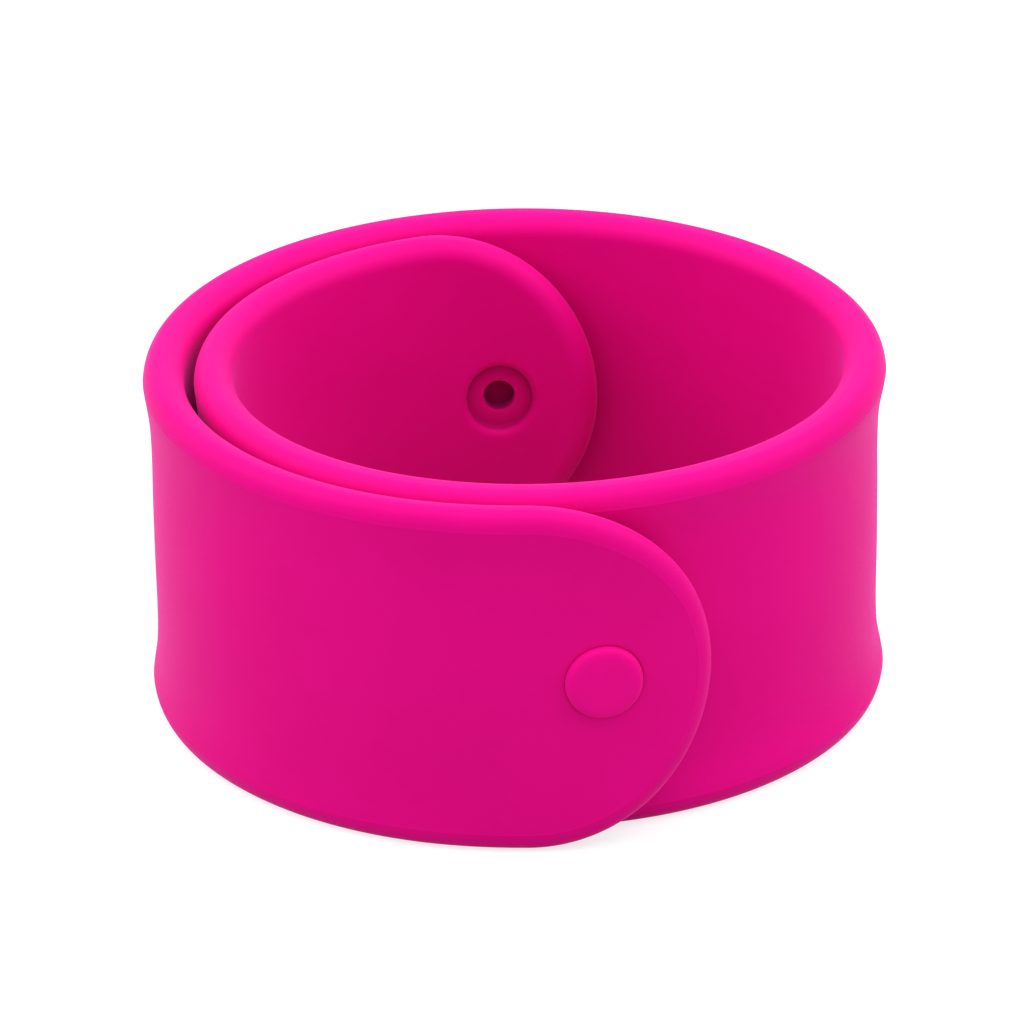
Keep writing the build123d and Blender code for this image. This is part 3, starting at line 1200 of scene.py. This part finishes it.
@dataclass
class Stud:
    """The push-in stud at the outer end: a low domed head on a plain shank."""

    law: CoilLaw
    inset: float = 7.7
    segments: int = 96
    # fmt: off
    profile: tuple[tuple[float, float], ...] = (
        (0.5, 1.7), (1.0, 1.699), (1.5, 1.697), (1.8, 1.692), (1.95, 1.685), (2.1, 1.67), (2.23, 1.645),
        (2.35, 1.61), (2.435, 1.56), (2.51, 1.495), (2.565, 1.42), (2.61, 1.335), (2.634, 1.24),
        (2.64, 1.17), (2.64, 0.9), (2.635, 0.65), (2.58, 0.63), (1.15, 0.627), (1.1, 0.62), (1.1, 0.0),
        (1.1, -0.5), (1.06, -0.58), (0.95, -0.62), (0.4, -0.625),
    )
    # fmt: on
    crown: float = 0.001
    finish: MouldedSilicone = MouldedSilicone("moulded_silicone_stud", "E20684", "DE0580", roughness=0.48)

    def build(self) -> None:
        """Turns the stud's profile about its axis and sets it in its seat."""
        turn = self.law.turn_at(self.inset)
        seat = np.array(self.law.on_band(turn, 0.0)) / MM
        normal, up = self.law.outward(turn), np.array([0.0, 0.0, 1.0])
        around = np.linspace(0, 2 * math.pi, self.segments, endpoint=False)
        spokes = np.cos(around)[:, None] * np.cross(normal, up) + np.sin(around)[:, None] * up
        rows = np.array([seat + normal * height + spokes * radius for radius, height in self.profile])
        work = Patchwork()
        work.grid(rows, closed=True)
        work.fan(rows[0], seat + normal * (self.profile[0][1] + self.crown))
        work.fan(rows[-1], seat + normal * self.profile[-1][1])
        mesh = work.mesh("stud_head_and_shank")
        mesh.materials.append(self.finish.build())
        piece = add_object("stud_head_and_shank", mesh)
        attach(piece, "link_01")
        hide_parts("stud")
        LOG.info("%s rides on link_01", piece.name)


@dataclass
class WristBand:
    """The whole band: sleeve, spring and stud on one coil."""

    law: CoilLaw = CoilLaw()
    outer_cut: float = 11.0
    inner_cut: float = 10.4
    stud_edge: float = 4.7
    seat_edge: float = 3.7
    past_hinge: float = 0.4
    stud_tip_share: float = 0.75
    seat_tip_share: float = 0.85

    def stretches(self) -> list[Stretch]:
        """Every half cell, with the two ends kept rigid around their seats."""
        law = self.law
        half_cell, count = law.turn_total / law.cell_count / 2, 2 * law.cell_count
        marks = law.lengths(np.arange(count + 1) * half_cell)
        spans = np.diff(marks)
        made = []
        for number in range(count):
            cell, inner = divmod(number, 2)
            start, stop = float(marks[number]), float(marks[number + 1])
            bend_from, bend_to = (start, stop) if inner else (stop, start)
            # the two pieces at a cut drop by the same amount there, a quarter of their mean turn
            shares = [
                0.25 * (1 + spans[other] / spans[number]) / 2 if 0 <= other < count else 0.0
                for other in (number - 1, number + 1)
            ]
            at_link, at_edge = shares if inner else shares[::-1]
            side = Side.INNER if inner else Side.OUTER
            collared = 1 < number < count - 1
            made.append(Stretch(cell, side, start, stop, bend_from, bend_to, at_link, 1 - at_edge, collared))
        first, second, near, last = made[0], made[1], made[-2], made[-1]
        length = law.band_length
        low_cut, high_cut, hard_edge = self.outer_cut, length - self.inner_cut, length - self.seat_edge
        # the hinges in the middle of the second half cell from each tip, and a little past them
        low_split, high_split = law.lengths(np.array([1.5, count - 1.5]) * half_cell)
        low_split, high_split = low_split + self.past_hinge, high_split - self.past_hinge
        # each tongue keeps its seat rigid, so the piece next to it makes up the turn in a short root
        root = (0.0, 0.5, False, "_root")
        return [
            Stretch(0, first.side, 0.0, low_cut, self.stud_edge, 0.0, 0.0, self.stud_tip_share),
            Stretch(0, second.side, low_cut, low_split, low_cut, low_split, *root),
            replace(second, start=low_split, bend_from=low_split, link_share=0.5),
            *made[2:-2],
            replace(near, stop=high_split, bend_from=high_split, link_share=0.5),
            Stretch(near.cell, near.side, high_split, high_cut, high_cut, high_split, *root),
            Stretch(last.cell, last.side, high_cut, length, hard_edge, length, 0.0, self.seat_tip_share),
        ]

    def build(self) -> None:
        """Makes every part of the band."""
        wrap, stretches = BandWrap(self.law), self.stretches()
        Sleeve(self.law, wrap, stretches, self.outer_cut, self.inner_cut).build()
        Spring(self.law, wrap, stretches, least_steps=2).build()
        Stud(self.law).build()


# ---- the studio


@dataclass(frozen=True)
class Softbox:
    """A square lamp: where it stands, how wide it is and how strong, in metres and watts."""

    name: str
    place: tuple[float, float, float]
    size: float
    power: float

    def build(self, aim: Vector) -> None:
        """Hangs the lamp and turns it to the object.

        Args:
            aim: The point that it faces.
        """
        lamp = bpy.data.lights.new(self.name, "AREA")
        lamp.shape = "SQUARE"
        lamp.size = self.size
        lamp.energy = self.power
        holder = add_object(self.name, lamp)
        holder.location = self.place
        holder.rotation_euler = (aim - Vector(self.place)).to_track_quat("-Z", "Y").to_euler()


@dataclass
class Studio:
    """A plain pale floor, soft light and the camera."""

    floor_size: float = 3.0
    floor_drop: float = 0.00002
    floor_colour: str = "AFAFAF"
    seen_floor_share: float = 0.35
    seen_floor_glow: float = 0.72
    world_strength: float = 0.96
    lamp_aim: tuple[float, float, float] = (0.0, 0.0, 0.012)
    camera_target_mm: tuple[float, float, float] = (-0.267, 0.458, 12.974)
    camera_distance_mm: float = 496.52
    camera_azimuth: float = 0.752
    camera_elevation: float = 26.049
    camera_roll: float = -0.791
    sensor_mm: float = 36.0
    focal_share: float = 6.9405
    lamps: tuple[Softbox, ...] = (
        Softbox("overhead_softbox", (0.0, 0.0, 0.8), 1.0, 4.8),
        Softbox("left_softbox", (-0.7, 0.0, 0.55), 0.6, 2.9),
        Softbox("right_softbox", (0.7, 0.0, 0.55), 0.6, 2.5),
    )

    def _show(self, tree: NodeTree, output: str, rows: tuple[tuple, ...]) -> None:
        """Fills a tree that has one look for the camera and another for the light.

        Args:
            tree: The tree.
            output: The type name of its output node.
            rows: The nodes of the two looks, which end in one named light and one named seen.
        """
        path = add_node(tree, "ShaderNodeLightPath").outputs
        known = {name: path[name] for name in ("Is Camera Ray", "Is Glossy Ray", "Is Transmission Ray")}
        # what the camera sees, straight on or in a glossy or a clear surface
        ending = (
            ("either", "Math MAXIMUM", {0: "Is Camera Ray", 1: "Is Glossy Ray"}),
            ("any", "Math MAXIMUM", {0: "either", 1: "Is Transmission Ray"}),
            ("mixed", "MixShader", {0: "any", 1: "light", 2: "seen"}),
        )
        add_rows(tree, known, rows + ending)
        add_node(tree, output, {"Surface": known["mixed"]})

    def floor(self) -> None:
        """Lays the floor, which looks white and keeps a soft shadow."""
        half = self.floor_size / 2
        mesh = bpy.data.meshes.new("studio_floor")
        corners = [(x * half, y * half, -self.floor_drop) for x, y in ((-1, -1), (1, -1), (1, 1), (-1, 1))]
        mesh.from_pydata(corners, [], [(0, 1, 2, 3)])
        material = bpy.data.materials.new("matt_white_paper_sweep")
        share = self.seen_floor_share
        rows = (
            ("light", "BsdfDiffuse", {"Color": linear(self.floor_colour)}),
            ("lit", "BsdfDiffuse", {"Color": (share, share, share, 1)}),
            ("glow", "Emission", {"Strength": self.seen_floor_glow}),
            ("seen", "AddShader", {0: "lit", 1: "glow"}),
        )
        self._show(clear_tree(material), "ShaderNodeOutputMaterial", rows)
        mesh.materials.append(material)
        add_object("studio_floor", mesh)

    def world(self) -> None:
        """Fills the room with even light, and shows it as white."""
        world = bpy.data.worlds.new("studio_room")
        rows = (
            ("light", "Background", {"Color": WHITE, "Strength": self.world_strength}),
            ("seen", "Background", {"Color": WHITE, "Strength": 1.0}),
        )
        self._show(clear_tree(world), "ShaderNodeOutputWorld", rows)
        bpy.context.scene.world = world

    def camera(self) -> None:
        """Stands the camera in front of the band and above it, with a long lens."""
        azimuth, elevation = math.radians(self.camera_azimuth), math.radians(self.camera_elevation)
        roll = math.radians(self.camera_roll)
        level = math.cos(elevation)
        back = Vector((math.sin(azimuth) * level, -math.cos(azimuth) * level, math.sin(elevation)))
        right = Vector((0, 0, 1)).cross(back).normalized()
        up = back.cross(right)
        turned_right = right * math.cos(roll) + up * math.sin(roll)
        turned_up = up * math.cos(roll) - right * math.sin(roll)
        place = (Vector(self.camera_target_mm) + back * self.camera_distance_mm) * MM
        lens = bpy.data.cameras.new("studio_camera")
        lens.sensor_width = self.sensor_mm
        lens.lens = self.sensor_mm * self.focal_share
        lens.clip_start, lens.clip_end = 0.01, 10.0
        camera = add_object("studio_camera", lens)
        turned = Matrix((turned_right, turned_up, back)).transposed().to_4x4()
        camera.matrix_world = Matrix.Translation(place) @ turned
        bpy.context.scene.camera = camera

    def build(self) -> None:
        """Sets up everything around the object."""
        self.floor()
        self.world()
        for lamp in self.lamps:
            lamp.build(Vector(self.lamp_aim))
        self.camera()
        bpy.context.scene.view_settings.view_transform = "Standard"


def main() -> None:
    """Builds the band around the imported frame, then the studio."""
    logging.basicConfig(level=logging.INFO, format="%(message)s")
    for leftover in list(bpy.data.objects):
        bpy.data.objects.remove(leftover)
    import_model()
    WristBand().build()
    Studio().build()


if __name__ == "__main__":
    main()
